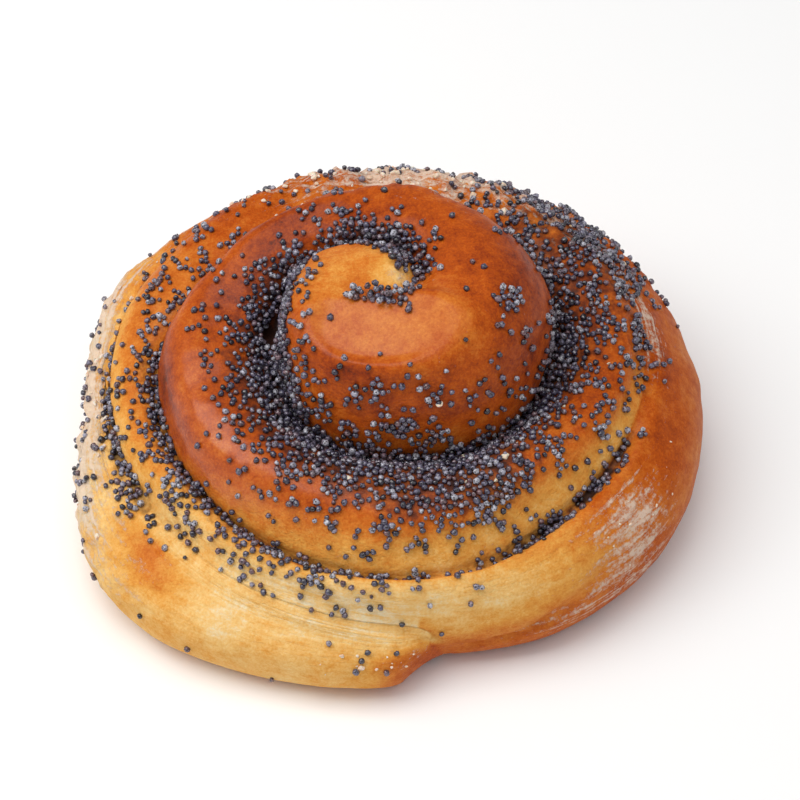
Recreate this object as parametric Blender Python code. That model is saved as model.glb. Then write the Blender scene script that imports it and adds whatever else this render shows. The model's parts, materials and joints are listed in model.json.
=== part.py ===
"""Poppy seed bun: one length of yeast dough coiled outwards over about three turns round a tall
domed centre, baked into one body, with poppy seeds stuck in its grooves and on its shoulders.

The skin is one strip that follows the coil. Its two edges lie in the groove between neighbouring
turns, so one groove line gives both. Angles are in degrees along the coil, counter-clockwise seen
from above: 0 is right, 90 back, 180 left and 270 front, and each turn adds 360."""

from math import cos, hypot, pi, radians, sin, sqrt
from random import Random

import bmesh
import bpy
from mathutils import Vector

MM = 0.001

COIL_START = -300.0        # angle at which the groove leaves the pole
COIL_END = 1000.0          # angle at which the coil's tail ends, front right of the middle
POLE = (1.5, 5.0)          # mm, plan position of the point the coil turns about
FADE_IN = 160.0            # degrees over which the strip grows its full section
ROWS_A_TURN = 54
COLUMNS = 10
WALL_ROWS = 5
BASE_TUCK = 0.6            # how far the wall tucks in below its widest line, per mm of height

SEED_COUNT = 150
SEED_SIZE = (1.45, 1.2, 1.1)   # mm, one poppy seed
SEED_SINK = 0.30               # share of the seed's height that sits in the dough
SEED_GAP = 2.0                 # mm, least distance between two seeds' centres
SEED_DRAW = 41

# groove: angle, radius from the pole and height of its floor, mm
GROOVE = (
    (-300, 0.0, 45.2), (-255, 1.8, 45.2), (-200, 4.8, 45.0), (-150, 7.0, 44.6), (-100, 5.3, 44.0),
    (-50, 3.4, 42.8), (28, 3.5, 41.8), (79, 6.4, 41.4), (108, 8.4, 40.8), (130, 11.8, 39.6),
    (151, 16.4, 36.0), (180, 18.5, 31.0), (211, 20.0, 28.0), (240, 20.4, 25.6), (270, 19.6, 24.2),
    (300, 20.4, 23.8), (330, 21.5, 24.0), (360, 22.4, 24.8), (382, 21.9, 25.4), (405, 21.3, 26.2),
    (430, 21.4, 27.2), (450, 22.0, 28.0), (470, 23.6, 28.4), (491, 26.4, 28.5), (508, 28.8, 27.8),
    (520, 30.8, 26.8), (530, 33.5, 25.6), (540, 36.0, 24.3), (552, 36.8, 22.9), (590, 36.7, 20.0),
    (640, 36.9, 18.8), (670, 35.8, 19.6), (709, 37.8, 24.6), (735, 37.6, 27.2), (765, 37.0, 28.0),
    (810, 37.4, 27.8), (855, 40.5, 25.2), (883, 43.6, 21.5), (915, 44.2, 18.5), (937, 42.8, 17.0),
    (965, 42.0, 15.5), (1000, 40.4, 9.6),
)
# widest line of the outside wall, over the last turn: angle, radius, height, mm
WIDEST = (
    (1001, 41.0, 8.0), (1008, 41.8, 8.0), (1025, 43.6, 8.0), (1046, 46.0, 8.6), (1062, 47.0, 9.2),
    (1080, 47.5, 10.0), (1100, 47.0, 11.0), (1125, 45.0, 12.0), (1150, 42.9, 13.0), (1170, 42.6, 13.0),
    (1195, 43.6, 13.0), (1215, 45.8, 13.0), (1235, 50.0, 12.5), (1260, 48.0, 10.5), (1280, 51.6, 9.0),
    (1292, 53.2, 8.8), (1302, 52.5, 8.5), (1325, 48.5, 8.0), (1340, 46.4, 7.6), (1350, 44.5, 7.0),
    (1360, 42.0, 6.5),
)
# crest of the strip: angle, share of the way to the outer groove, height in mm, slope across in degrees
CREST = (
    (-300, 0.50, 44.8, 0), (-150, 0.50, 45.2, 0), (-90, 0.45, 45.6, 0), (0, 0.50, 45.8, 0),
    (60, 0.50, 45.6, 0), (110, 0.55, 43.6, 0), (150, 0.62, 39.0, 0), (180, 0.60, 34.6, 0),
    (225, 0.52, 31.0, 0), (270, 0.42, 28.4, -4), (315, 0.50, 27.8, -4), (360, 0.70, 29.4, -4),
    (405, 0.71, 30.8, -4), (450, 0.69, 31.0, -4), (495, 0.58, 30.3, 0), (540, 0.42, 25.4, -8),
    (585, 0.35, 21.4, -10), (630, 0.35, 19.8, -20), (675, 0.35, 20.2, -34), (720, 0.40, 23.0, -48),
    (765, 0.40, 25.2, -46), (810, 0.40, 25.6, -40), (855, 0.35, 23.8, -32), (900, 0.30, 19.0, -16),
    (945, 0.35, 15.4, -20), (975, 0.40, 12.6, -28), (1000, 0.50, 9.2, -40),
)
# slope at which the skin climbs out of its inner groove, degrees
RISE = (
    (-300, 5), (-150, 5), (-90, 20), (-40, 40), (60, 45), (150, 50), (200, 40), (270, 38), (360, 24),
    (450, 30), (510, 35), (560, 35), (640, 25), (690, -10), (720, -30), (800, -28), (850, -10),
    (885, 30), (915, 36), (945, -15), (1000, -8),
)
# slope at which it drops into its outer groove: 90 is upright, and more hangs over the groove
FALL = (
    (-300, 30), (-210, 45), (-110, 95), (0, 104), (60, 95), (150, 80), (200, 85), (270, 75), (320, 50),
    (355, 30), (450, 28), (490, 50), (540, 70), (575, 40), (600, 28), (622, 55), (641, 90), (1000, 90),
)
# seeds along the groove: angle, then reach in mm and share of cover on its inner and outer side
SEED_BAND = (
    (-170, 2.0, 0.5, 2.0, 0.5), (-110, 2.0, 0.6, 1.5, 0.4), (-50, 3.0, 0.8, 3.0, 0.6),
    (28, 3.0, 0.9, 5.0, 0.9), (108, 2.0, 0.8, 6.0, 0.9), (151, 4.0, 0.9, 8.0, 0.9),
    (180, 7.0, 1.0, 9.0, 1.0), (225, 6.0, 0.9, 9.5, 1.0), (270, 7.0, 0.5, 13.0, 1.0),
    (315, 7.0, 0.5, 15.0, 0.9), (360, 3.0, 0.4, 17.0, 0.8), (405, 1.5, 0.2, 18.0, 0.7),
    (440, 1.0, 0.1, 16.0, 0.3), (470, 2.0, 0.2, 10.0, 0.3), (500, 3.0, 0.3, 10.0, 0.5),
    (540, 1.0, 0.2, 10.0, 0.6), (580, 1.0, 0.3, 8.0, 0.6), (640, 1.5, 0.4, 6.0, 0.5),
    (700, 1.5, 0.4, 2.5, 0.4), (725, 0.0, 0.0, 0.0, 0.0), (860, 0.0, 0.0, 0.0, 0.0),
    (885, 2.0, 0.4, 2.0, 0.2), (935, 1.0, 0.3, 2.0, 0.3), (1000, 0.0, 0.0, 0.5, 0.1),
)


def along(keys, angle, column=1):
    """Value of one column at an angle, on a smooth curve through the keys."""
    angle = min(max(angle, keys[0][0]), keys[-1][0])
    last = len(keys) - 1
    i = 0
    while i < last - 1 and keys[i + 1][0] <= angle:
        i += 1

    def slope(j):
        low, high = max(j - 1, 0), min(j + 1, last)
        return (keys[high][column] - keys[low][column]) / (keys[high][0] - keys[low][0])

    span = keys[i + 1][0] - keys[i][0]
    t = (angle - keys[i][0]) / span
    return (
        (2 * t**3 - 3 * t**2 + 1) * keys[i][column]
        + (t**3 - 2 * t**2 + t) * span * slope(i)
        + (3 * t**2 - 2 * t**3) * keys[i + 1][column]
        + (t**3 - t**2) * span * slope(i + 1)
    )


def edge(angle):
    """Radius and height of the strip's edge: the groove, and past the tail the wall's widest line."""
    keys = GROOVE if angle < COIL_END + 0.01 else WIDEST
    return along(keys, angle, 1), along(keys, angle, 2)


def bezier(a, b, c, d, t):
    s = 1 - t
    return tuple(
        s**3 * a[i] + 3 * s * s * t * b[i] + 3 * s * t * t * c[i] + t**3 * d[i] for i in range(2)
    )


def section(angle):
    """Radius and height across the strip, from its inner groove over the crest to its outer one."""
    r_in, z_in = edge(angle)
    r_out, z_out = edge(angle + 360)
    r_top = r_in + along(CREST, angle, 1) * (r_out - r_in)
    z_top = along(CREST, angle, 2)
    lean = radians(along(CREST, angle, 3))
    rise = radians(along(RISE, angle))
    fall = radians(along(FALL, angle))
    across_in, drop_in = r_top - r_in, abs(z_top - z_in)
    across_out, drop_out = r_out - r_top, abs(z_top - z_out)
    flat_in, flat_out = 0.5 * across_in + 0.08 * drop_in, 0.55 * across_out + 0.08 * drop_out
    steep_in = 0.5 * drop_in * abs(sin(rise)) + 0.45 * across_in * abs(cos(rise))
    steep_out = 0.55 * drop_out * abs(sin(fall)) + 0.45 * across_out * abs(cos(fall))
    grown = min(max((angle - COIL_START) / FADE_IN, 0), 1)
    grown = grown * grown * (3 - 2 * grown)
    half = COLUMNS // 2
    points = []
    for j in range(COLUMNS + 1):
        t = j / COLUMNS
        if j <= half:
            full = bezier(
                (r_in, z_in),
                (r_in + steep_in * cos(rise), z_in + steep_in * sin(rise)),
                (r_top - flat_in * cos(lean), z_top - flat_in * sin(lean)),
                (r_top, z_top),
                j / half,
            )
        else:
            full = bezier(
                (r_top, z_top),
                (r_top + flat_out * cos(lean), z_top + flat_out * sin(lean)),
                (r_out - steep_out * cos(fall), z_out + steep_out * sin(fall)),
                (r_out, z_out),
                (j - half) / (COLUMNS - half),
            )
        plain = (r_in + t * (r_out - r_in), z_in + t * (z_out - z_in))
        points.append(tuple(p + grown * (f - p) for p, f in zip(plain, full)))
    return points


def place(radius, height, angle):
    """Plan radius, height and coil angle to a point, in metres."""
    a = radians(angle)
    return Vector((POLE[0] + radius * cos(a), POLE[1] + radius * sin(a), height)) * MM


def make_dough(name):
    """The closed skin of the coil. Returns the object and the strip's grid of points."""
    bm = bmesh.new()
    step = 360 / ROWS_A_TURN
    rows = round((COIL_END - COIL_START) / step)
    angles = [COIL_START + step * i for i in range(rows + ROWS_A_TURN + 1)]
    grid = {}

    pole_height = edge(COIL_START)[1]
    pole = bm.verts.new(place(0, pole_height, 0))
    for i in range(rows + 1):
        for j, (radius, height) in enumerate(section(angles[i])[:-1]):
            grid[i, j] = bm.verts.new(place(radius, height, angles[i])) if i or j else pole
    for i in range(rows + 1, rows + ROWS_A_TURN + 1):
        grid[i, 0] = bm.verts.new(place(*edge(angles[i]), angles[i]))

    def strip(i, j):
        return grid[i + ROWS_A_TURN, 0] if j == COLUMNS else grid[i, j]

    # inside the groove's first turn the skin is a low cone round the pole
    for i in range(1, ROWS_A_TURN - 1):
        bm.faces.new((pole, grid[i, 0], grid[i + 1, 0]))
    last = grid[ROWS_A_TURN - 1, 0]
    for j in range(COLUMNS):
        bm.faces.new((last, strip(0, j + 1), strip(0, j)))

    for i in range(rows):
        for j in range(COLUMNS):
            bm.faces.new((strip(i, j), strip(i, j + 1), strip(i + 1, j + 1), strip(i + 1, j)))

    # outside wall, from the widest line down to the flat base
    wall = {}
    for w in range(ROWS_A_TURN + 1):
        angle = angles[rows + w]
        radius, height = edge(angle) if w else edge(COIL_END)
        foot = radius - BASE_TUCK * height
        wall[w, 0] = grid[rows + w, 0]
        for q in range(1, WALL_ROWS + 1):
            turn = q / WALL_ROWS * pi / 2
            wall[w, q] = bm.verts.new(
                place(foot + (radius - foot) * cos(turn), height * (1 - sin(turn)), angle)
            )
    for w in range(ROWS_A_TURN):
        for q in range(WALL_ROWS):
            bm.faces.new((wall[w, q], wall[w, q + 1], wall[w + 1, q + 1], wall[w + 1, q]))

    # blunt end of the tail, and the base
    bm.faces.new([strip(rows, j) for j in range(COLUMNS + 1)])
    for q in range(WALL_ROWS):
        bm.faces.new((wall[0, q], wall[ROWS_A_TURN, q], wall[ROWS_A_TURN, q + 1], wall[0, q + 1]))
    bm.faces.new([wall[w, WALL_ROWS] for w in range(ROWS_A_TURN, -1, -1)])

    bmesh.ops.triangulate(bm, faces=[f for f in bm.faces if len(f.verts) > 4])
    bmesh.ops.recalc_face_normals(bm, faces=bm.faces)
    mesh = bpy.data.meshes.new(name)
    bm.to_mesh(mesh)
    bm.free()
    dough = bpy.data.objects.new(name, mesh)
    bpy.context.collection.objects.link(dough)
    return dough


def seed_cover(point):
    """Share of the skin covered by seeds at a point, from its distance to the nearest grooves."""
    x, y = point[0] / MM - POLE[0], point[1] / MM - POLE[1]
    radius = hypot(x, y)
    turn = Vector((x, y)).angle_signed(Vector((1, 0))) if radius else 0
    base = turn * 180 / pi
    cover = 0.0
    angle = base - 360
    while angle <= COIL_END:
        if angle >= -170:
            gap = radius - along(GROOVE, angle)
            reach = along(SEED_BAND, angle, 1 if gap < 0 else 3)
            most = along(SEED_BAND, angle, 2 if gap < 0 else 4)
            if reach > 0:
                cover = max(cover, most * min(1, max(0, 2 * (1 - abs(gap) / reach))))
        angle += 360
    return cover


def seed_places(dough):
    """Points and normals for the seeds: drawn where the cover says, kept apart, and on the upper skin."""
    draw = Random(SEED_DRAW)
    mesh = dough.data
    mesh.calc_loop_triangles()
    faces = []
    weights = []
    for tri in mesh.loop_triangles:
        corners = [mesh.vertices[v].co.copy() for v in tri.vertices]
        middle = sum(corners, Vector()) / 3
        if tri.normal.z < 0.15 or middle.z < 12 * MM:
            continue
        cover = seed_cover(middle)
        if cover > 0.05:
            faces.append((corners, tri.normal.copy()))
            weights.append(tri.area * cover)
    tries = draw.choices(range(len(faces)), weights, k=SEED_COUNT * 60)
    chosen = []
    tree_gap = SEED_GAP * MM
    for k in tries:
        corners, normal = faces[k]
        a, b = sqrt(draw.random()), draw.random()
        point = corners[0] * (1 - a) + corners[1] * a * (1 - b) + corners[2] * a * b
        if all((point - other).length > tree_gap for other, _ in chosen):
            chosen.append((point, normal))
        if len(chosen) == SEED_COUNT:
            break
    return chosen


def make_seed(name, point, normal, spin, collection):
    """One rounded seed of thirty triangles, part sunk into the dough."""
    bm = bmesh.new()
    bmesh.ops.create_uvsphere(bm, u_segments=5, v_segments=4, radius=0.5)
    for v in bm.verts:
        v.co = Vector(v.co[i] * SEED_SIZE[i] * MM for i in range(3))
    bmesh.ops.triangulate(bm, faces=bm.faces)
    mesh = bpy.data.meshes.new(name)
    bm.to_mesh(mesh)
    bm.free()
    seed = bpy.data.objects.new(name, mesh)
    lift = (0.5 - SEED_SINK) * SEED_SIZE[2] * MM
    seed.rotation_mode = "QUATERNION"
    seed.rotation_quaternion = normal.to_track_quat("Z", "Y") @ Vector((0, 0, 1)).rotation_difference(
        Vector((sin(spin) * 0.2, cos(spin) * 0.2, 1))
    )
    seed.location = point + normal * lift
    collection.objects.link(seed)
    return seed


def fuse(body, collection):
    """Joins every object of the collection to the body with one union, then removes them."""
    union = body.modifiers.new("Seeds", "BOOLEAN")
    union.operation = "UNION"
    union.operand_type = "COLLECTION"
    union.collection = collection
    union.solver = "MANIFOLD"
    bpy.context.view_layer.update()
    graph = bpy.context.evaluated_depsgraph_get()
    joined = bpy.data.meshes.new_from_object(body.evaluated_get(graph), depsgraph=graph)
    body.modifiers.remove(union)
    old = body.data
    body.data = joined
    bpy.data.meshes.remove(old)
    for seed in list(collection.objects):
        bpy.data.objects.remove(seed)
    bpy.data.collections.remove(collection)


def keep_largest(bm):
    """Drops loose scraps and sealed hollows left by the union."""
    left = set(bm.faces)
    bodies = []
    while left:
        front = [left.pop()]
        body = set(front)
        while front:
            for e in front.pop().edges:
                for f in e.link_faces:
                    if f in left:
                        left.remove(f)
                        body.add(f)
                        front.append(f)
        bodies.append(body)
    bodies.sort(key=len)
    for body in bodies[:-1]:
        bmesh.ops.delete(bm, geom=list(body), context="FACES")


def tidy(body):
    """Closed, triangulated and standing on the ground with its middle over the origin."""
    bm = bmesh.new()
    bm.from_mesh(body.data)
    bmesh.ops.remove_doubles(bm, verts=bm.verts, dist=0.02 * MM)
    bmesh.ops.dissolve_degenerate(bm, edges=bm.edges, dist=0.01 * MM)
    keep_largest(bm)
    bmesh.ops.triangulate(bm, faces=bm.faces)
    low = Vector(min(v.co[i] for v in bm.verts) for i in range(3))
    high = Vector(max(v.co[i] for v in bm.verts) for i in range(3))
    shift = Vector((-(low.x + high.x) / 2, -(low.y + high.y) / 2, -low.z))
    bmesh.ops.translate(bm, verts=bm.verts, vec=shift)
    bm.to_mesh(body.data)
    bm.free()
    body.data.name = body.name
    body.data.shade_smooth()


def crust_material():
    material = bpy.data.materials.new("crust")
    material.use_nodes = True
    shader = material.node_tree.nodes["Principled BSDF"]
    shader.inputs["Base Color"].default_value = (0.56, 0.22, 0.06, 1)
    shader.inputs["Roughness"].default_value = 0.42
    shader.inputs["Metallic"].default_value = 0.0
    return material


def main():
    for obj in list(bpy.data.objects):
        bpy.data.objects.remove(obj)
    bun = make_dough("bun")
    toppings = bpy.data.collections.new("Toppings")
    bpy.context.scene.collection.children.link(toppings)
    draw = Random(SEED_DRAW + 1)
    for k, (point, normal) in enumerate(seed_places(bun)):
        make_seed(f"seed_{k:03d}", point, normal, draw.uniform(0, 2 * pi), toppings)
    fuse(bun, toppings)
    tidy(bun)
    bun.data.materials.clear()
    bun.data.materials.append(crust_material())


main()
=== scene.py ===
# %% [markdown]
# Poppy seed bun.
# A yeast dough rope is coiled outwards from a pinched centre, so that the centre rises into a dome in the
# oven and the turns lean on each other. Egg wash browns the crests, the stretched dough between the turns
# stays pale, and poppy seeds stay where they rolled: in the groove and on the shoulders beside it.
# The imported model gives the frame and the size. This file makes the skin again, finer, with the same
# groove line and the same crest, and then gives it crust, seeds, crumbs and flour.

import json
from math import cos, pi, radians, sin

import bpy
import numpy as np
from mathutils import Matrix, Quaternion, Vector, noise

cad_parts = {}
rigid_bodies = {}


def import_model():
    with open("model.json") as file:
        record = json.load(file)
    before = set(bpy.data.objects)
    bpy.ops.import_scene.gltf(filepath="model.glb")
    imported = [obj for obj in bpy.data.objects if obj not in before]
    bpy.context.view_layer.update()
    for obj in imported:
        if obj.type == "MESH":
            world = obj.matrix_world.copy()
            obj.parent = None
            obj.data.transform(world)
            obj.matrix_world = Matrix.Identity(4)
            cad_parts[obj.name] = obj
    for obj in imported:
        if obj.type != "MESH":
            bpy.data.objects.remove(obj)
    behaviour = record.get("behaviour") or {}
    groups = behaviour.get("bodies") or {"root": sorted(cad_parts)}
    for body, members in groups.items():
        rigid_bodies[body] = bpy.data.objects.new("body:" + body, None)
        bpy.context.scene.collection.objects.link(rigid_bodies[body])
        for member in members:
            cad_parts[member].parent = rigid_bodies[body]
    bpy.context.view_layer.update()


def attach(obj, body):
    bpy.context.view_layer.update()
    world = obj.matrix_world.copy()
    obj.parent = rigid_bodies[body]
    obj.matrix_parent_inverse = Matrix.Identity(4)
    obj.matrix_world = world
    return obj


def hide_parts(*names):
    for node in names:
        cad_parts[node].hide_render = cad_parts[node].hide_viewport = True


for leftover in list(bpy.data.objects):
    bpy.data.objects.remove(leftover)
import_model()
MM = 0.001

# %% [markdown]
# The camera.
# The bun was photographed with a long lens from about fifty degrees above the table. A long lens far away
# keeps the coil nearly free of perspective, so its outline stays close to a circle seen at a slant.
# Aiming at a point low in the bun's middle centres it as it is in the picture.

# %% Camera
LENS_MM = 110.0
CAMERA_RISE = 50.0
CAMERA_AWAY = 370.0
AIM = Vector((1.2, -3.5, 21.0))

aim_camera = bpy.data.cameras.new("camera")
aim_camera.lens = LENS_MM
aim_camera.sensor_width = 36.0
aim_camera.clip_start = 0.01
camera = bpy.data.objects.new("camera", aim_camera)
back = Vector((0, -cos(radians(CAMERA_RISE)), sin(radians(CAMERA_RISE))))
camera.location = (AIM + CAMERA_AWAY * back) * MM
camera.rotation_euler = back.to_track_quat("Z", "Y").to_euler()
bpy.context.scene.collection.objects.link(camera)
bpy.context.scene.camera = camera
bpy.context.scene.view_settings.view_transform = "Standard"
print("camera at", [round(x, 3) for x in camera.location])

# %% [markdown]
# The coil.
# The whole skin is one strip that follows the rope of dough round the bun. Both of its edges lie in the
# groove between two turns, so one groove line is enough: at an angle, the inner edge is the groove there
# and the outer edge is the groove one full turn later. Past the tail the outer edge is the widest line of
# the wall. Angles are counter-clockwise from above (0 right, 90 back, 180 left, 270 front) and grow by
# 360 with each turn. A modelled spiral could also come from a curve with a bevel, but then the turns would
# cross each other instead of meeting in a groove.

# %% Measures of the coil
COIL_START, COIL_END = -300.0, 1000.0
POLE = np.array([1.5, 5.0])
FADE_IN = 160.0
BASE_TUCK = 0.6
MIDDLE = np.array([-0.808, -3.487])      # mm, moves the coil's drawing onto the frame's origin

# angle, radius from the pole, height of the groove's floor
GROOVE = (
    (-300, 0, 45.2), (-255, 1.8, 45.2), (-200, 4.8, 45), (-150, 7, 44.6), (-100, 5.3, 44), (-50, 3.4, 42.8),
    (28, 3.5, 41.8), (79, 6.4, 41.4), (108, 8.4, 40.8), (130, 11.8, 39.6), (151, 16.4, 36), (180, 18.5, 31),
    (211, 20, 28), (240, 20.4, 25.6), (270, 19.6, 24.2), (300, 20.4, 23.8), (330, 21.5, 24),
    (360, 22.4, 24.8), (382, 21.9, 25.4), (405, 21.3, 26.2), (430, 21.4, 27.2), (450, 22, 28),
    (470, 23.6, 28.4), (491, 26.4, 28.5), (508, 28.8, 27.8), (520, 30.8, 26.8), (530, 33.5, 25.6),
    (540, 36, 24.3), (552, 36.8, 22.9), (590, 36.7, 20), (640, 36.9, 18.8), (670, 35.8, 19.6),
    (709, 37.8, 24.6), (735, 37.6, 27.2), (765, 37, 28), (810, 37.4, 27.8), (855, 40.5, 25.2),
    (883, 43.6, 21.5), (915, 44.2, 18.5), (937, 42.8, 17), (965, 42, 15.5), (1000, 40.4, 9.6),
)
# angle, radius, height of the wall's widest line
WIDEST = (
    (1001, 40.6, 7.6), (1010, 41.6, 7.8), (1025, 43.6, 8), (1046, 46, 8.6), (1062, 47, 9.2),
    (1080, 47.5, 10), (1100, 47, 11), (1125, 45, 12), (1150, 42.9, 13), (1170, 42.6, 13), (1195, 43.6, 13),
    (1215, 45.8, 13), (1235, 50, 12.5), (1260, 48, 10.5), (1280, 51.6, 9), (1292, 53.2, 8.8),
    (1302, 52.5, 8.5), (1325, 48.5, 8), (1340, 46.4, 7.6), (1349, 45.4, 7.2), (1353, 43.9, 7),
    (1356, 41.6, 6.8), (1360, 40.6, 6.6),
)
# angle, crest's share of the way out, its height, slope across it in degrees
CREST = (
    (-300, 0.5, 44.8, 0), (-150, 0.5, 45.2, 0), (-90, 0.45, 45.6, 0), (0, 0.5, 45.8, 0), (60, 0.5, 45.6, 0),
    (110, 0.55, 43.6, 0), (150, 0.62, 39, 0), (180, 0.6, 34.6, 0), (225, 0.52, 31, 0),
    (270, 0.42, 28.4, -4), (315, 0.5, 27.8, -4), (360, 0.7, 29.4, -4), (405, 0.71, 30.8, -4),
    (450, 0.69, 31, -4), (495, 0.58, 30.3, 0), (540, 0.42, 25.4, -8), (585, 0.35, 21.4, -10),
    (630, 0.35, 19.8, -20), (675, 0.35, 20.2, -34), (720, 0.4, 23, -48), (765, 0.4, 25.2, -46),
    (810, 0.4, 25.6, -40), (855, 0.35, 23.8, -32), (900, 0.3, 19, -16), (945, 0.35, 15.4, -20),
    (975, 0.4, 12.6, -28), (1000, 0.5, 9.2, -40),
)
# angle, slope out of the inner groove
RISE = (
    (-300, 5), (-150, 5), (-90, 20), (-40, 40), (60, 45), (150, 50), (200, 40), (270, 38), (360, 24),
    (450, 30), (510, 35), (560, 35), (640, 25), (690, -10), (720, -30), (800, -28), (850, -10), (885, 30),
    (915, 36), (945, -15), (1000, -8),
)
# angle, slope into the outer groove, where 90 is upright
FALL = (
    (-300, 30), (-210, 45), (-110, 95), (0, 104), (60, 95), (150, 80), (200, 85), (262, 68), (295, 46),
    (320, 40), (355, 30), (450, 28), (490, 50), (540, 70), (575, 40), (600, 28), (622, 55), (641, 90),
    (1000, 90),
)


def along(keys, angles, column=1):
    """Values at the angles, on a smooth curve through the keys."""
    xs = np.array([k[0] for k in keys], float)
    ys = np.array([k[column] for k in keys], float)
    low, high = np.r_[0, np.arange(len(xs) - 1)], np.r_[np.arange(1, len(xs)), len(xs) - 1]
    slope = (ys[high] - ys[low]) / (xs[high] - xs[low])
    a = np.clip(angles, xs[0], xs[-1])
    i = np.clip(np.searchsorted(xs, a, side="right") - 1, 0, len(xs) - 2)
    span = xs[i + 1] - xs[i]
    t = (a - xs[i]) / span
    return (
        (2 * t**3 - 3 * t**2 + 1) * ys[i] + (t**3 - 2 * t**2 + t) * span * slope[i]
        + (3 * t**2 - 2 * t**3) * ys[i + 1] + (t**3 - t**2) * span * slope[i + 1]
    )


def edge(angles):
    """Radius and height of the strip's edge."""
    angles = np.asarray(angles, float)
    past = angles > COIL_END + 0.01
    return (
        np.where(past, along(WIDEST, angles, 1), along(GROOVE, angles, 1)),
        np.where(past, along(WIDEST, angles, 2), along(GROOVE, angles, 2)),
    )


print("turns:", round(COIL_END / 360, 2), "largest radius:", max(k[1] for k in WIDEST), "mm")

# %% [markdown]
# The strip's section.
# Across one turn the dough climbs out of its groove, rounds over a crest and drops into the next groove.
# Two cubic arcs that share a tangent at the crest draw this. The slope at each end decides the look: an
# upright or overhanging end gives the deep crevice under the dome, a shallow one a fold that has baked shut.

# %% Section across the strip
COLUMNS = 46


def cubic(a, b, c, d, t):
    s = 1 - t
    return s**3 * a + 3 * s * s * t * b + 3 * s * t * t * c + t**3 * d


def sections(angles):
    """Radius and height across the strip, one row for each angle and one column for each step out."""
    angles = np.asarray(angles, float)[:, None]
    (r_in, z_in), (r_out, z_out) = edge(angles), edge(angles + 360)
    r_top = r_in + along(CREST, angles, 1) * (r_out - r_in)
    z_top = along(CREST, angles, 2)
    lean, rise, fall = (np.radians(along(k, angles, c)) for k, c in ((CREST, 3), (RISE, 1), (FALL, 1)))
    across_in, drop_in = r_top - r_in, abs(z_top - z_in)
    across_out, drop_out = r_out - r_top, abs(z_top - z_out)
    flat_in, flat_out = 0.5 * across_in + 0.08 * drop_in, 0.55 * across_out + 0.08 * drop_out
    steep_in = 0.5 * drop_in * abs(np.sin(rise)) + 0.45 * across_in * abs(np.cos(rise))
    steep_out = 0.55 * drop_out * abs(np.sin(fall)) + 0.45 * across_out * abs(np.cos(fall))
    half = COLUMNS // 2
    t = np.linspace(0, 1, half + 1)[None, :]
    inner = (
        cubic(r_in, r_in + steep_in * np.cos(rise), r_top - flat_in * np.cos(lean), r_top, t),
        cubic(z_in, z_in + steep_in * np.sin(rise), z_top - flat_in * np.sin(lean), z_top, t),
    )
    outer = (
        cubic(r_top, r_top + flat_out * np.cos(lean), r_out - steep_out * np.cos(fall), r_out, t),
        cubic(z_top, z_top + flat_out * np.sin(lean), z_out + steep_out * np.sin(fall), z_out, t),
    )
    r, z = (np.concatenate([i, o[:, 1:]], axis=1) for i, o in zip(inner, outer))
    share = np.linspace(0, 1, COLUMNS + 1)[None, :]
    grown = np.clip((angles - COIL_START) / FADE_IN, 0, 1)
    grown = grown * grown * (3 - 2 * grown)
    r = (1 - grown) * (r_in + share * (r_out - r_in)) + grown * r
    z = (1 - grown) * (z_in + share * (z_out - z_in)) + grown * z
    return r, z


sample_z = sections([-90.0])[1]
print("dome in front: crest", round(float(sample_z.max()), 1), "mm,",
      "groove", round(float(sample_z[0, -1]), 1), "mm")

# %% [markdown]
# The skin as one closed mesh.
# Neighbouring turns share the points of their groove, so nothing overlaps and no join is needed. A low cap
# of spokes fills the middle, a quarter ellipse tucks the wall under to the flat base, and the tail ends in
# a small blunt face. Each point also remembers its angle and its share of the way across, because browning,
# flour and seeds are all placed by where they are on the rope.

# %% Build the skin
ROWS_A_TURN = 396
WALL_ROWS = 13
SPOKE_STEP = 0.42


def stitch(a, b, faces):
    """Triangles between two lines of points that start together and run outwards; b is counter-clockwise."""
    i = j = 0
    while i < len(a) - 1 or j < len(b) - 1:
        if j == len(b) - 1 or (i < len(a) - 1 and (i + 1) / len(a) <= (j + 1) / len(b)):
            if a[i] != b[j]:
                faces.append((a[i], a[i + 1], b[j]))
            i += 1
        else:
            if a[i] != b[j]:
                faces.append((a[i], b[j + 1], b[j]))
            j += 1


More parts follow.
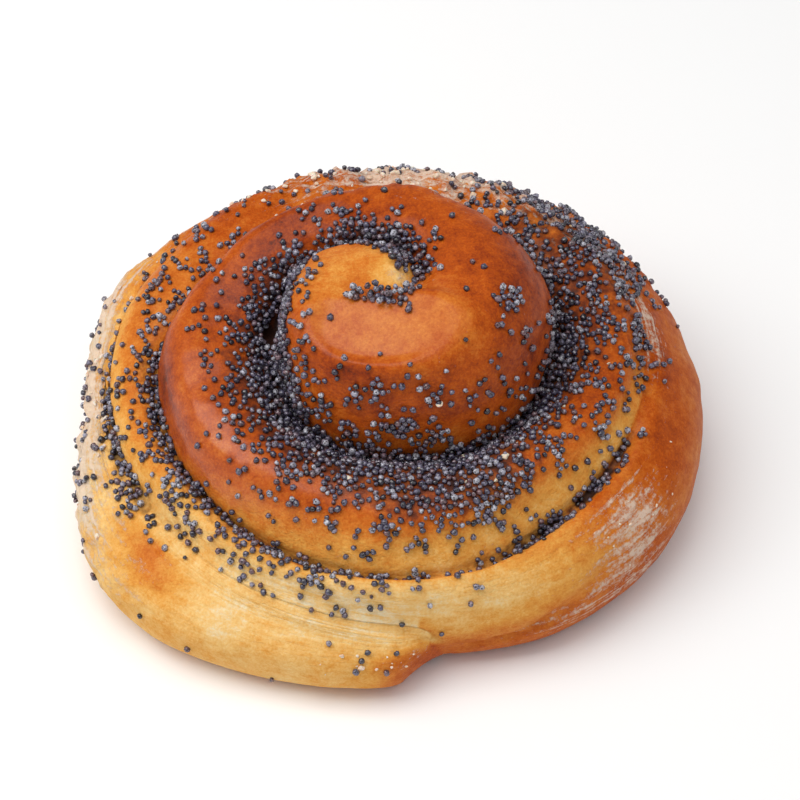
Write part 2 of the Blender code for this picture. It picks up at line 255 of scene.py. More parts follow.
def build_skin():
    step = 360 / ROWS_A_TURN
    rows = round((COIL_END - COIL_START) / step)
    angles = COIL_START + step * np.arange(rows + ROWS_A_TURN + 1)
    r, z = sections(angles[: rows + 1])
    er, ez = edge(angles)
    er[rows], ez[rows] = edge([COIL_END])[0][0], edge([COIL_END])[1][0]
    points, theta, share = [], [], []

    def add(radius, height, angle, t):
        a = radians(angle)
        points.append((POLE[0] + radius * cos(a), POLE[1] + radius * sin(a), height))
        theta.append(angle)
        share.append(t)
        return len(points) - 1

    grid = {
        (i, j): add(r[i, j], z[i, j], angles[i], j / COLUMNS)
        for i in range(rows + 1) for j in range(COLUMNS)
    }
    for i in range(rows + 1, rows + ROWS_A_TURN + 1):
        grid[i, 0] = add(er[i], ez[i], angles[i], 0.0)

    def strip(i, j):
        return grid[i + ROWS_A_TURN, 0] if j == COLUMNS else grid[i, j]

    faces = [
        (strip(i, j), strip(i, j + 1), strip(i + 1, j + 1), strip(i + 1, j))
        for i in range(rows) for j in range(COLUMNS)
    ]
    # cap of spokes round the pole
    pole, top = grid[0, 0], ez[0]
    line = [pole, grid[1, 0]]
    for i in range(2, ROWS_A_TURN + 1):
        if i == ROWS_A_TURN:
            following = [strip(0, j) for j in range(COLUMNS + 1)]
        else:
            steps = max(1, int(er[i] / SPOKE_STEP))
            following = [pole]
            for q in range(1, steps):
                t = q / steps
                following.append(add(t * er[i], top + t * (ez[i] - top), angles[i] - 360, t))
            following.append(grid[i, 0])
        stitch(line, following, faces)
        line = following
    # wall and base
    wall = {}
    for w in range(ROWS_A_TURN + 1):
        radius, height = er[rows + w], ez[rows + w]
        foot = radius - BASE_TUCK * height
        wall[w, 0] = grid[rows + w, 0]
        for q in range(1, WALL_ROWS + 1):
            turn = q / WALL_ROWS * pi / 2
            wall[w, q] = add(foot + (radius - foot) * cos(turn), height * (1 - sin(turn)),
                             angles[rows + w] - 360, 1 + q / WALL_ROWS)
    for w in range(ROWS_A_TURN):
        for q in range(WALL_ROWS):
            faces.append((wall[w, q], wall[w, q + 1], wall[w + 1, q + 1], wall[w + 1, q]))
    middle = add(0, 0, 0, 2)
    points[middle] = (POLE[0] - 5, POLE[1], 0)
    for w in range(ROWS_A_TURN):
        faces.append((middle, wall[w + 1, WALL_ROWS], wall[w, WALL_ROWS]))
    faces.append((middle, wall[0, WALL_ROWS], wall[ROWS_A_TURN, WALL_ROWS]))
    # blunt end of the tail
    end = [strip(rows, j) for j in range(COLUMNS + 1)]
    for j in range(1, COLUMNS):
        faces.append((end[0], end[j], end[j + 1]))
    for q in range(WALL_ROWS):
        faces.append((wall[0, q], wall[ROWS_A_TURN, q], wall[ROWS_A_TURN, q + 1], wall[0, q + 1]))
    place = np.array(points)
    place[:, :2] += MIDDLE
    return place, np.array(theta), np.array(share), faces


skin, theta, share, skin_faces = build_skin()
print("skin points:", len(skin), "triangles:", sum(len(f) - 2 for f in skin_faces),
      "box mm:", np.ptp(skin, axis=0).round(1))

# %% [markdown]
# Relief of the crust.
# Dough never comes out of the oven smooth: it swells in lumps, tears where it was stretched, and dries
# into small wrinkles. The lumps and tears change the outline, so they move the points of the skin along
# its normals. Finer wrinkles are left to the material's bump. Places are given on the rope: an angle, a
# share of the way across (above 1 is the outside wall), and how far the mark spreads each way.

# %% Marks on the rope
def spread(angle, across, angle_reach, across_reach):
    """Soft patch on the rope, 1 in its middle and fading to 0."""
    return np.exp(-(((theta - angle) / angle_reach) ** 2) - ((share - across) / across_reach) ** 2)


def patches(table):
    """Soft patches added up: strength, angle, across, reach round and reach across."""
    return sum(strength * spread(*place) for strength, *place in table)


def near(dx, dy, reach):
    """Soft patch round a place given in mm from the pole, on the side that faces up."""
    away = skin[:, :2] - (POLE + MIDDLE + np.array([dx, dy]))
    return np.exp(-(away**2).sum(axis=1) / reach**2) * (theta < 150)


def clamp(x, low=0.0, high=1.0):
    return np.minimum(np.maximum(x, low), high)


def ease(x, low, high):
    t = clamp((x - low) / (high - low))
    return t * t * (3 - 2 * t)


def rough(points, size, octaves=2, shift=0.0):
    """Fractal noise of about plus or minus one, with features of the given size in mm."""
    where = points / size + shift
    return np.array([noise.fractal(Vector(p), 0.9, 2.1, octaves) for p in where])


core = theta < COIL_START - 0.01    # the cap inside the first turn
widest = theta > COIL_END + 0.01    # the wall's widest line is the outer edge of the last turn
theta, share = np.where(widest, theta - 360, theta), np.where(widest, 1.0, share)
rim = np.where(core, np.round((theta + 360 - COIL_START) * ROWS_A_TURN / 360).astype(int) * COLUMNS, 0)
torn = clamp(patches((
    (0.6, 905, 0.75, 42, 0.45), (0.6, 890, 1.15, 40, 0.35),  # left flank
    (1.2, 785, 0.6, 34, 0.6), (1.3, 418, 0.95, 32, 0.4), (1.2, 452, 0.75, 38, 0.45),  # back rim
    (0.4, 100, 0.7, 40, 0.2),  # back of the dome
)))
print("torn crust covers", round(100 * float((torn > 0.5).mean()), 1), "% of the skin")

# %% Move the skin
def normals_of(points, faces):
    tri = np.array([(f[0], f[i], f[i + 1]) for f in faces for i in range(1, len(f) - 1)])
    a, b, c = (points[tri[:, i]] for i in range(3))
    flat = np.cross(b - a, c - a)
    total = np.zeros_like(points)
    for i in range(3):
        np.add.at(total, tri[:, i], flat)
    return total / np.maximum(np.linalg.norm(total, axis=1), 1e-12)[:, None], tri


normals, triangles = normals_of(skin, skin_faces)
foot_fade = ease(skin[:, 2], 0.3, 5.0)
lumps = 0.55 * rough(skin, 17.0, 2)
dents = 0.16 * rough(skin, 4.5, 2, 7.3)
tears = torn * (0.9 * rough(skin, 2.4, 3, 3.1) + 1.2 * rough(skin, 4.4, 2, 9.2))
crease = -0.9 * spread(655, 1.05 - 0.012 * (theta - 655), 22, 0.05) * ease(theta, 640, 645)
fold = -0.7 * spread(128, 0.62, 16, 0.05) + 0.5 * spread(126, 0.52, 16, 0.09)
stretch = 0.035 * spread(970, 0.25, 25, 0.3) * np.sin(share * 90 + 6 * lumps)
SEAM = (
    # angle of the groove, how far it gapes, how thickly seeds lie along it
    (-300, 0, 0), (100, 0.1, 0), (160, 0.6, 0), (200, 0.9, 0), (235, 0.4, 0), (430, 0.2, 0),
    (470, 0.3, 0.2), (520, 0.6, 0.4), (555, 0.7, 0.75), (585, 0.6, 0.65), (610, 0.5, 0.45), (640, 0.5, 0.4),
    (655, 0.7, 0.75), (668, 1, 0.9), (676, 0.9, 0.5), (684, 1.3, 0.7), (695, 0.7, 0.5), (712, 0.2, 0.1),
    (850, 0.2, 0), (888, 0.6, 0.3), (915, 0.9, 0.7), (930, 0.6, 0.4), (945, 0.2, 0.1), (960, 0, 0),
    (1000, 0, 0),
)
turn_width = along(GROOVE, np.minimum(theta + 360, 1000)) - along(GROOVE, theta)
from_seam = np.where(share < 0.5, share, 1 - share) * np.maximum(turn_width, 1)
groove_angle = np.where(share < 0.5, theta, theta + 360)
in_seam = (share <= 1) * (groove_angle <= 1000) * ~core
gape = clamp(along(SEAM, groove_angle) * (0.85 + 0.5 * rough(skin, 3.0, 2, 14.0)))
gape = gape * in_seam * np.exp(-((from_seam / 0.42) ** 2))
pit = np.exp(-(((groove_angle - 182) / 8) ** 2) - (from_seam / 1.1) ** 2) * in_seam
seam = -1.3 * gape - 1.5 * pit
brow = 0.63 + 0.06 * np.exp(-(((theta + 82) / 26) ** 2))    # share where the dome's flat front ends
under_brow = ease(share, brow, brow + 0.05) * np.exp(-(((theta + 92) / 40) ** 2)) * (theta < 0) * ~core
plateau = 0.35 * spread(-92, 0.56, 36, 0.08) - 0.45 * under_brow * (1 - ease(share, 0.74, 0.95))


def soften(points, weight, rounds):
    """Moves each point towards the middle of its neighbours, by its weight, over and over."""
    pairs = np.concatenate([triangles[:, [0, 1]], triangles[:, [1, 2]], triangles[:, [2, 0]]])
    pairs = pairs[(weight[pairs] > 0.01).any(axis=1)]
    pairs = np.concatenate([pairs, pairs[:, ::-1]])
    count = np.bincount(pairs[:, 0], minlength=len(points))[:, None]
    for _ in range(rounds):
        sums = [np.bincount(pairs[:, 0], points[pairs[:, 1], k], len(points)) for k in range(3)]
        middle = np.stack(sums, axis=1) / np.maximum(count, 1)
        points = points + (weight[:, None] * 0.7) * np.where(count > 0, middle - points, 0)
    return points


TAIL_RADIUS, TAIL_ANGLE = 42.0, radians(-83)
tail_tip = POLE + MIDDLE + TAIL_RADIUS * np.array([cos(TAIL_ANGLE), sin(TAIL_ANGLE)])
from_tip = np.linalg.norm(skin[:, :2] - tail_tip, axis=1)
last_seam = ((share < 0.20) & (theta > 945)) | ((share > 0.84) & (theta > 585) & (theta < 642))
tip_weight = clamp((1 - ease(from_tip, 1.5, 5.0)) + 0.9 * last_seam * (1 - ease(from_tip, 16, 27)))
tip_weight = tip_weight * ease(skin[:, 2], 0.0, 0.6)
skin = soften(skin, tip_weight, 70)
normals, triangles = normals_of(skin, skin_faces)
relief = lumps + dents + tears + crease + fold + stretch + plateau + seam
skin = skin + normals * (foot_fade * relief)[:, None]
FLAT_MIDDLE, FLAT_REACH = np.array([-0.5, -9.0, 44.3]), (12.5, 6.5)    # mm, the dome's flat front
flat_tilt = np.array([-0.12, -0.37]) / 0.922
from_flat = skin - FLAT_MIDDLE
flat_part = 1 - ease(np.hypot(from_flat[:, 0] / FLAT_REACH[0], from_flat[:, 1] / FLAT_REACH[1]), 0.7, 1.15)
flat_part = flat_part * (theta < 60) * (skin[:, 2] > 38)
flat_part = flat_part * (1 - ease(share, brow + 0.03, brow + 0.09) * ~core)
skin[:, 2] = skin[:, 2] + 0.9 * flat_part * (-from_flat[:, :2] @ flat_tilt - from_flat[:, 2])
skin[:, 2] = np.maximum(skin[:, 2], 0)
normals, triangles = normals_of(skin, skin_faces)
print("relief moved points by up to", round(float(abs(foot_fade * relief).max()), 2), "mm")

# %% [markdown]
# Browning.
# How brown a crust gets depends on how high it stands in the oven and on whether it was shielded: the
# crests go deep orange, while dough that was pulled out late, between the turns and near the tray, stays
# cream. One number from 0 (pale) to 1 (dark) is kept on every point, first from the height and then
# corrected by named patches. The material turns it into colour with one ramp, so the shades always go
# through the same baked series.

# %% Browning, flour with a painted sheen, and gloss on every point
BROWNING = (
    # angle, across, reach round, reach across, target, strength
    (-200, 0.2, 90, 0.5, 0.45, 0.9),  # yellow core of the coil
    (-178, 0.23, 10, 0.14, 0.47, 0.9),  # its orange spot
    (-130, 0.34, 55, 0.3, 0.53, 0.85),
    (-95, 0.5, 45, 0.22, 0.6, 0.9),  # front of the dome's top
    (-45, 0.55, 22, 0.24, 0.38, 0.9),  # its paler right side: painted highlight
    (-118, 0.71, 24, 0.09, 0.94, 0.75),  # painted shade: dark line under its flat front
    (-95, 0.9, 60, 0.15, 0.68, 0.85),  # dome's front wall
    (-22, 0.33, 34, 0.28, 0.64, 0.85),  # dome's right shoulder
    (-25, 0.66, 22, 0.14, 0.84, 0.8),
    (-5, 0.8, 50, 0.25, 0.87, 0.8),
    (22, 0.68, 34, 0.15, 0.93, 0.85),
    (30, 0.45, 50, 0.35, 0.79, 0.9),  # dome's back
    (110, 0.35, 40, 0.35, 0.75, 0.8),
    (150, 0.5, 38, 0.35, 0.84, 0.9),  # fold at the back left
    (160, 0.86, 36, 0.15, 0.92, 0.85),  # its dark lip
    (184, 0.82, 16, 0.12, 0.82, 0.7),
    (185, 0.72, 32, 0.3, 0.78, 0.9),  # left crest
    (215, 0.75, 25, 0.22, 0.68, 0.8),
    (240, 0.9, 28, 0.16, 0.42, 0.8),
    (200, 0.82, 24, 0.13, 0.93, 0.85),  # the left crest's deep red outer side
    (290, 0.45, 60, 0.3, 0.74, 0.8),  # front band under the seeds
    (285, 0.9, 35, 0.16, 0.4, 0.9),
    (328, 0.9, 26, 0.2, 0.24, 0.9),
    (370, 0.5, 45, 0.5, 0.72, 0.8),  # right band
    (450, 0.6, 45, 0.5, 0.55, 0.8),  # back rim
    (492, 0.55, 22, 0.45, 0.78, 0.9),  # left of the second turn
    (520, 0.66, 18, 0.18, 0.7, 0.8),
    (535, 0.32, 25, 0.3, 0.58, 0.9),
    (545, 0.85, 30, 0.2, 0.36, 0.9),
    (590, 0.24, 42, 0.26, 0.54, 0.85),
    (605, 0.8, 45, 0.3, 0.18, 0.9),  # pale stretched dough in front
    (642, 0.78, 25, 0.34, 0.22, 0.9),
    (640, 0.2, 18, 0.22, 0.52, 0.8),
    (668, 0.35, 20, 0.35, 0.48, 0.9),
    (684, 0.95, 24, 0.28, 0.68, 0.85),
    (705, 0.45, 24, 0.6, 0.84, 0.9),  # browned right flank
    (745, 0.5, 35, 0.6, 0.84, 0.8),
    (800, 0.5, 50, 0.6, 0.66, 0.8),
    (850, 0.3, 25, 0.4, 0.74, 0.8),
    (895, 0.5, 30, 0.6, 0.34, 0.9),  # pale left flank
    (943, 0.5, 30, 0.7, 0.25, 0.9),  # pale bulge at the front left
    (962, 0.6, 22, 0.9, 0.26, 0.6),
    (940, 0.5, 7, 0.19, 0.6, 1),  # orange spots on it
    (944, 0.64, 5, 0.12, 0.55, 1),
    (985, 0.6, 14, 0.5, 0.33, 0.7),
    (991, 0.9, 6, 0.3, 0.78, 0.95),  # tip of the tail
)
WALL_BROWNING = (
    # angle, browning of the outside wall
    (640, 0.66), (660, 0.7), (700, 0.74), (740, 0.8), (790, 0.68), (840, 0.55), (880, 0.34), (915, 0.24),
    (950, 0.3), (978, 0.3), (986, 0.44), (992, 0.7), (1000, 0.78),
)
# dough that was pulled into fibres
drawn = clamp(patches(((1, 622, 0.90, 26, 0.30), (1, 974, 0.30, 24, 0.35), (0.5, 664, 0.6, 14, 0.4))))
level = 0.25 + 0.60 * ease(skin[:, 2], 12, 34)
for angle, across, reach, width, target, strength in BROWNING:
    weight = strength * spread(angle, across, reach, width) * (share <= 1)
    level = level + weight * (target - level)
level = np.where(core, 0.42 + ease(share, 0.4, 1.0) * (level[rim] - 0.42), level)
# painted shade: darker just under the brow of the dome's flat front
level = level + 0.07 * under_brow * (1 - ease(share, 0.80, 1.0))
level = level - 0.20 * near(0.8, -1.4, 3.0) - 0.10 * drawn + 0.03 * core
level = level + 0.05 * flat_part * (1 - ease(from_flat[:, 0], -5, 4))
on_wall = ease(share, 0.75, 1.1) * (theta > 635)
level = level + on_wall * (along(WALL_BROWNING, theta) - level)
level = level + 0.14 * ease(share, 1.35, 1.9) * (theta > 640)
flour_and_sheen = clamp(0.62 * near(0.6, -1.2, 3.0) + patches((
    (0.98, 448, 0.75, 36, 0.5), (1.05, 800, 0.5, 42, 0.6),  # back rim
    (0.9, 70, 0.69, 20, 0.1),  # back of the dome: partly flour, partly painted sheen
    (1.2, 900, 0.8, 32, 0.4), (0.95, 892, 1.15, 32, 0.35),  # left flank
    (0.72, 683, 0.68, 13, 0.3), (0.62, 676, 1.12, 23, 0.22),  # lower right
    (0.7, 728, 0.16, 15, 0.25), (0.45, 400, 0.8, 30, 0.3),  # right flank and band
    (0.35, 992, 0.8, 8, 0.3),  # tip of the tail
)))
# how thick the egg wash lies: most on the dome's flat front and on the left crest
wash = 0.28 + 0.24 * flat_part * (1 - ease(from_flat[:, 0], -2, 8))
wash = clamp(wash + patches(((0.45, 212, 0.72, 30, 0.28), (0.6, 224, 0.77, 20, 0.17))))
gloss = clamp(ease(level, 0.40, 0.60) * wash * (1 - flour_and_sheen) * (1 - torn) * np.where(theta > 500, 0.8, 1.0))
print("browning from", round(float(level.min()), 2), "to", round(float(level.max()), 2))

# %% [markdown]
# Where the seeds are.
# The seeds were rolled in with the filling, so they crowd the groove of the second turn and thin out over
# the shoulders. How much of the dough they hide is given along the rope at four places across it. The same
# number also darkens the dough between them: partly a little filling that sticks there, partly painted shade.

# %% Seed cover on every point
COVER_AT = (0.10, 0.38, 0.63, 0.90)
COVER = (
    # angle, cover at the four places across
    (-300, 0.3, 0.9, 1, 1), (-270, 0.7, 1, 1, 1), (-243, 0.6, 0.95, 1, 1), (-225, 0.1, 0.15, 0.35, 0.9),
    (-212, 0, 0, 0.08, 0.9), (-195, 0, 0, 0.35, 1), (-180, 0, 0, 0.75, 1), (-160, 0, 0, 0.6, 1),
    (-145, 0.02, 0, 0.25, 0.7), (-120, 0.05, 0, 0.05, 0.5), (-85, 0.05, 0, 0.06, 0.5),
    (-60, 0.02, 0, 0.05, 0.3), (-35, 0.02, 0, 0.06, 0.2), (0, 0.05, 0, 0.04, 0.12),
    (40, 0.4, 0, 0.03, 0.15), (70, 0.7, 0.04, 0, 0.1), (100, 1, 0.16, 0, 0.08), (125, 1, 0.22, 0, 0.06),
    (143, 0.45, 0.05, 0.02, 0.06), (155, 0.9, 0.12, 0.06, 0.12), (180, 1, 0.42, 0, 0.02),
    (210, 1, 0.75, 0, 0.02), (240, 1, 1, 0.38, 0.04), (270, 1, 1, 0.72, 0.05), (300, 1, 1, 0.8, 0.12),
    (330, 1, 0.65, 0.3, 0.02), (360, 1, 0.7, 0.55, 0.45), (385, 1, 0.8, 0.8, 0.8), (412, 1, 0.75, 0.7, 0.6),
    (435, 0.7, 0.15, 0.12, 0.06), (465, 0.4, 0.12, 0.08, 0.04), (495, 0.25, 0.2, 0.12, 0.03),
    (510, 0.25, 0.35, 0.25, 0.03), (540, 0.6, 0.6, 0.12, 0), (560, 0.7, 0.6, 0.35, 0.06),
    (578, 0.75, 0.75, 0.5, 0.2), (597, 0.8, 0.6, 0.42, 0.22), (615, 0.7, 0.45, 0.3, 0.1),
    (632, 0.6, 0.3, 0.12, 0.03), (655, 0.25, 0.04, 0, 0), (675, 0.12, 0.04, 0, 0), (700, 0.1, 0.02, 0, 0),
    (732, 0.3, 0.08, 0, 0), (748, 0.8, 0.5, 0.2, 0), (770, 0.8, 0.5, 0.25, 0), (800, 0.3, 0.15, 0.05, 0),
    (840, 0.15, 0.12, 0.05, 0.02), (870, 0.04, 0.02, 0.02, 0.03), (896, 0.12, 0.15, 0.1, 0.06),
    (914, 0.4, 0.4, 0.22, 0.16), (930, 0.04, 0.03, 0, 0), (975, 0, 0, 0, 0), (1000, 0, 0.03, 0.05, 0),
)


def cover_at(angles, across):
    columns = np.stack([along(COVER, angles, c) for c in range(1, 5)], axis=-1)
    place = np.interp(across, COVER_AT, range(4))
    low = np.minimum(place.astype(int), 2)
    part = place - low
    rows = np.arange(len(angles))
    return clamp(columns[rows, low] * (1 - part) + columns[rows, low + 1] * part)


cover = np.where(share <= 1, cover_at(theta, share), 0.2 * spread(910, 1.12, 16, 0.2))
cover = cover * ease(skin[:, 2], 4, 8)
to_rim = (1 - share) * along(GROOVE, theta + 360)    # mm left to the first turn's groove
cover = np.where(core, cover[rim] * (1 - ease(to_rim, 0.2, 1.2)), cover)
cover = np.maximum(cover, along(SEAM, groove_angle, 2) * in_seam * np.exp(-((from_seam / 0.85) ** 2)))
cover = np.maximum(cover, 0.65 * spread(-24, 0.64, 10, 0.07))
HOOK = (
    (3.4, 1.6, 1.9), (-5.7, -5.4, 0.9), (-3.6, -6.1, 1), (-1.2, -6.6, 1), (1, -7, 1), (2.2, -5.6, 0.8),
)
for dx, dy, reach in HOOK:
    cover = np.maximum(cover, clamp(1.3 * near(dx, dy, reach)))
print("dough hidden by seeds:", round(100 * float(cover.mean())), "% of its points")

# %% [markdown]
# The dough as an object.
# The points, in metres, become one mesh at the origin. Browning, flour, seed cover and gloss go with it as
# attributes, which a material can read by name, so nothing has to be painted into an image.

# %% Make the dough
def mesh_object(name, points, faces, attributes=None):
    mesh = bpy.data.meshes.new(name)
    mesh.from_pydata((points * MM).tolist(), [], faces)
    mesh.validate()
    for key, values in (attributes or {}).items():
        layer = mesh.attributes.new(key, "FLOAT", "POINT")
        layer.data.foreach_set("value", np.asarray(values, np.float32))
    mesh.shade_smooth()
    made = bpy.data.objects.new(name, mesh)
    bpy.context.scene.collection.objects.link(made)
    return made


# darker dough: filling stain under the seeds and painted shade between them, painted shade where a seam gapes
# and in the pit, and darker in a wide band at the front left and beside the pinched centre
painted_shade_and_stain = np.maximum.reduce([
    cover, 1.2 * gape, 1.5 * pit, 0.72 * spread(590, 0.12, 62, 0.30), 0.42 * near(0.7, -1.4, 2.2),
])
dough = mesh_object("dough", skin, skin_faces, {
    "browning": level, "flour_and_sheen": flour_and_sheen, "cover": painted_shade_and_stain, "gloss": gloss, "torn": torn, "drawn": drawn,
    "lengthwise": np.where(core, 0, radians(1) * theta * 20), "crosswise": np.where(core, 0, share * 13),
})
print("dough faces:", len(dough.data.polygons), "size mm:", [round(d / MM, 1) for d in dough.dimensions])

# %% [markdown]
# Crust material.
# Baked crust is a thin brown film over pale crumb. Its colour comes from the browning number through a
# ramp of baked shades. Three sizes of noise shift that number: wide blotches, a mottle of small blisters,
# and fine specks. Where dough was pulled out, noise that runs along the rope adds fibres. Flour lies on top
# as a matt, broken white, which at the back of the dome is also a painted sheen. Egg wash gives the crests
# a soft clear coat; pale dough and flour have none.

# %% Node helpers
def linear(red, green, blue):
    """A screen colour of 0 to 255 as the linear values that a shader takes."""
    def one(c):
        c /= 255
        return c / 12.92 if c <= 0.04045 else ((c + 0.055) / 1.055) ** 2.4
    return (one(red), one(green), one(blue), 1)


class Nodes:
    """Short way to add nodes to a tree: sockets take a number, a colour or another socket."""

    def __init__(self, tree):
        self.tree = tree

    def add(self, kind, inputs=None, out=0, **settings):
        node = self.tree.nodes.new(kind)
        for key, value in settings.items():
            setattr(node, key, value)
        self.fill(node, inputs or {})
        return node.outputs[out]

    def fill(self, node, inputs):
        for key, value in inputs.items():
            self.set(node.inputs[key], value)

    def set(self, socket, value):
        if isinstance(value, bpy.types.NodeSocket):
            self.tree.links.new(value, socket)
        else:
            socket.default_value = value

    def math(self, operation, a, b=0.0):
        return self.add("ShaderNodeMath", {0: a, 1: b}, operation=operation)

    def plus(self, a, b):
        return self.math("ADD", a, b)

    def times(self, a, b):
        return self.math("MULTIPLY", a, b)

    def attribute(self, name):
        return self.add("ShaderNodeAttribute", attribute_name=name, out=2)

    def point_value(self, name, kind="FLOAT"):
        return self.add("GeometryNodeInputNamedAttribute", {"Name": name}, data_type=kind)

    def ramp(self, factor, shades):
        """Colour ramp through shades given as a place and a screen colour."""
        colour = self.add("ShaderNodeValToRGB", {"Fac": factor})
        stops = colour.node.color_ramp.elements
        for stop, (place, *shade) in zip(stops, (shades[0], shades[-1])):
            stop.position, stop.color = place, linear(*shade)
        for place, *shade in shades[1:-1]:
            stops.new(place).color = linear(*shade)
        return colour

    def bump(self, height, strength, distance):
        return self.add("ShaderNodeBump", {"Height": height, "Strength": strength, "Distance": distance})

    def remap(self, value, low, high, to_low=0.0, to_high=1.0):
        return self.add("ShaderNodeMapRange", {"Value": value, "From Min": low, "From Max": high,
                                               "To Min": to_low, "To Max": to_high})

    def mix(self, factor, a, b):
        node = self.tree.nodes.new("ShaderNodeMix")
        node.data_type = "RGBA"
        self.set(node.inputs[0], factor)
        self.set(node.inputs[6], a)
        self.set(node.inputs[7], b)
        return node.outputs[2]


def new_material(name):
    made = bpy.data.materials.new(name)
    made.use_nodes = True
    return made, Nodes(made.node_tree), made.node_tree.nodes["Principled BSDF"]


# %% Crust
BAKED_SHADES = (
    # browning, red, green, blue
    (0, 236, 220, 184), (0.2, 236, 192, 120), (0.38, 224, 158, 72), (0.56, 206, 117, 38),
    (0.74, 180, 79, 8), (0.9, 138, 50, 8), (1, 88, 36, 20),
)
# the dark colour is filling stain and painted shade; the white is flour and, at the back of the dome, a
# painted sheen
FLOUR_AND_SHEEN_WHITE, FILLING_AND_SHADE_DARK = linear(222, 204, 186), linear(40, 30, 29)
crust, n, shader = new_material("crust")
where = n.add("ShaderNodeTexCoord", out=3)
browning, sheen_and_flour_amount, stain_and_shade_amount, shiny, ragged, pulled, lengthwise, crosswise = map(n.attribute, (
    "browning", "flour_and_sheen", "cover", "gloss", "torn", "drawn", "lengthwise", "crosswise",
))


def speckle(scale, detail, rough_share=0.55):
    inputs = {"Vector": where, "Scale": scale, "Detail": detail, "Roughness": rough_share}
    return n.add("ShaderNodeTexNoise", inputs)


rope = n.add("ShaderNodeCombineXYZ", {0: n.times(lengthwise, 0.16), 1: crosswise})
streaks = n.add("ShaderNodeTexNoise", {"Vector": rope, "Scale": 1.5, "Detail": 4, "Roughness": 0.62,
                                       "Distortion": 0.5})
blotches, mottle, specks = speckle(120, 3), speckle(620, 4), speckle(2600, 3, 0.7)
shade = n.plus(browning, n.remap(blotches, 0.25, 0.75, -0.10, 0.10))
shade = n.plus(shade, n.remap(mottle, 0.25, 0.75, -0.08, 0.08))
shade = n.plus(shade, n.remap(specks, 0.3, 0.75, -0.08, 0.09))
pale = n.remap(browning, 0.55, 0.25)
fibres = n.plus(n.times(pale, 0.3), pulled)
shade = n.plus(shade, n.times(fibres, n.remap(streaks, 0.3, 0.7, -0.09, 0.09)))
broken_flour_and_sheen = n.plus(sheen_and_flour_amount, n.remap(speckle(950, 5, 0.75), 0.3, 0.7, -0.34, 0.28))
broken_flour_and_sheen = n.plus(broken_flour_and_sheen, n.remap(streaks, 0.35, 0.65, -0.30, 0.26))
broken_flour_and_sheen = n.plus(broken_flour_and_sheen, n.remap(specks, 0.3, 0.7, -0.16, 0.16))
flour_and_sheen_cover = n.remap(broken_flour_and_sheen, 0.42, 0.80)
# flour, which on the back of the dome is also a painted sheen, laid over the baked colour
skin_colour = n.mix(n.times(flour_and_sheen_cover, 0.80), n.ramp(shade, BAKED_SHADES), FLOUR_AND_SHEEN_WHITE)
# darker dough: filling stain, and painted shade between the seeds, in gaping seams and in the pit
filling_and_shade = n.plus(stain_and_shade_amount, n.remap(mottle, 0.3, 0.7, -0.2, 0.2))
filling_and_shade = n.times(n.remap(filling_and_shade, 0.55, 1.05), 0.94)
dullness = n.plus(n.remap(shiny, 0, 1, 0.75, 0.55), n.remap(mottle, 0.3, 0.7, -0.06, 0.10))
squeezed = n.add("ShaderNodeMapping", {"Vector": where, "Scale": (1, 1, 1.8)})
wrinkle = n.add("ShaderNodeTexNoise", {"Vector": squeezed, "Scale": 900, "Detail": 4, "Roughness": 0.6,
                                       "Distortion": 0.6})
height = n.plus(wrinkle, n.times(specks, 0.35))
height = n.plus(height, n.times(n.times(ragged, mottle), 3.5))
height = n.plus(height, n.times(n.times(fibres, streaks), 1.3))
height = n.plus(height, n.times(flour_and_sheen_cover, 0.4))
n.fill(shader, {
    "Base Color": n.mix(filling_and_shade, skin_colour, FILLING_AND_SHADE_DARK), "Roughness": dullness,
    "Specular IOR Level": 0.10, "Coat Weight": n.times(shiny, 0.85), "Coat Roughness": 0.24, "Coat IOR": 1.42,
    "Subsurface Weight": 0.06, "Subsurface Radius": (1.0, 0.45, 0.2), "Subsurface Scale": 0.0015,
    "Normal": n.bump(height, 0.8, 0.0003),
})
dough.data.materials.append(crust)
print("crust nodes:", len(crust.node_tree.nodes))

# %% [markdown]
# Placing the seeds.
# A seed sticks where it touches the egg wash, so most seeds lie on the skin, pressed in a little. They are
# drawn at random over the skin and a draw is dropped when it lands too near an earlier one, which spaces
# them as in real life; of those left, only the share that the cover asks for stays. In the deep groove the
# seeds lie on each other: further seeds fall from above and settle in the lowest gap they find.

# %% Seeds on the skin
SEED_LENGTH, SEED_WIDTH, SEED_HEIGHT = 1.10, 0.94, 0.88    # mm
SEED_GAP = 0.77    # mm, least way between two middles
SEED_DRAWS = 13.0    # to a square millimetre
PILE_DRAWS = 7.0
draw = np.random.default_rng(7)


def drawn_on_skin(weight, a_square_mm, least=0.01):
    """Random points on the skin with normal, cover and weight, so many to a square millimetre."""
    a, b, c = (skin[triangles[:, i]] for i in range(3))
    area = 0.5 * np.linalg.norm(np.cross(b - a, c - a), axis=1)
    area = np.where(weight[triangles].max(axis=1) > least, area, 0)
    count = int(area.sum() * a_square_mm)
    chosen = draw.choice(len(triangles), size=count, p=area / area.sum())
    u, v = np.sqrt(draw.random(count)), draw.random(count)
    parts = np.stack([1 - u, u * (1 - v), u * v], axis=1)
    corners = triangles[chosen]
    at = (skin[corners] * parts[:, :, None]).sum(axis=1)
    up = (normals[corners] * parts[:, :, None]).sum(axis=1)
    return at, up / np.linalg.norm(up, axis=1)[:, None], (weight[corners] * parts).sum(axis=1)


class Crowd:
    """Seeds placed so far, found by the cell they lie in."""

    def __init__(self, cell):
        self.cell, self.cells = cell, {}

    def key(self, p):
        return tuple(int(x // self.cell) for x in p)

    def near(self, p):
        i, j, k = self.key(p)
        for a in range(i - 1, i + 2):
            for b in range(j - 1, j + 2):
                for c in range(k - 1, k + 2):
                    yield from self.cells.get((a, b, c), ())

    def add(self, p):
        self.cells.setdefault(self.key(p), []).append(p)


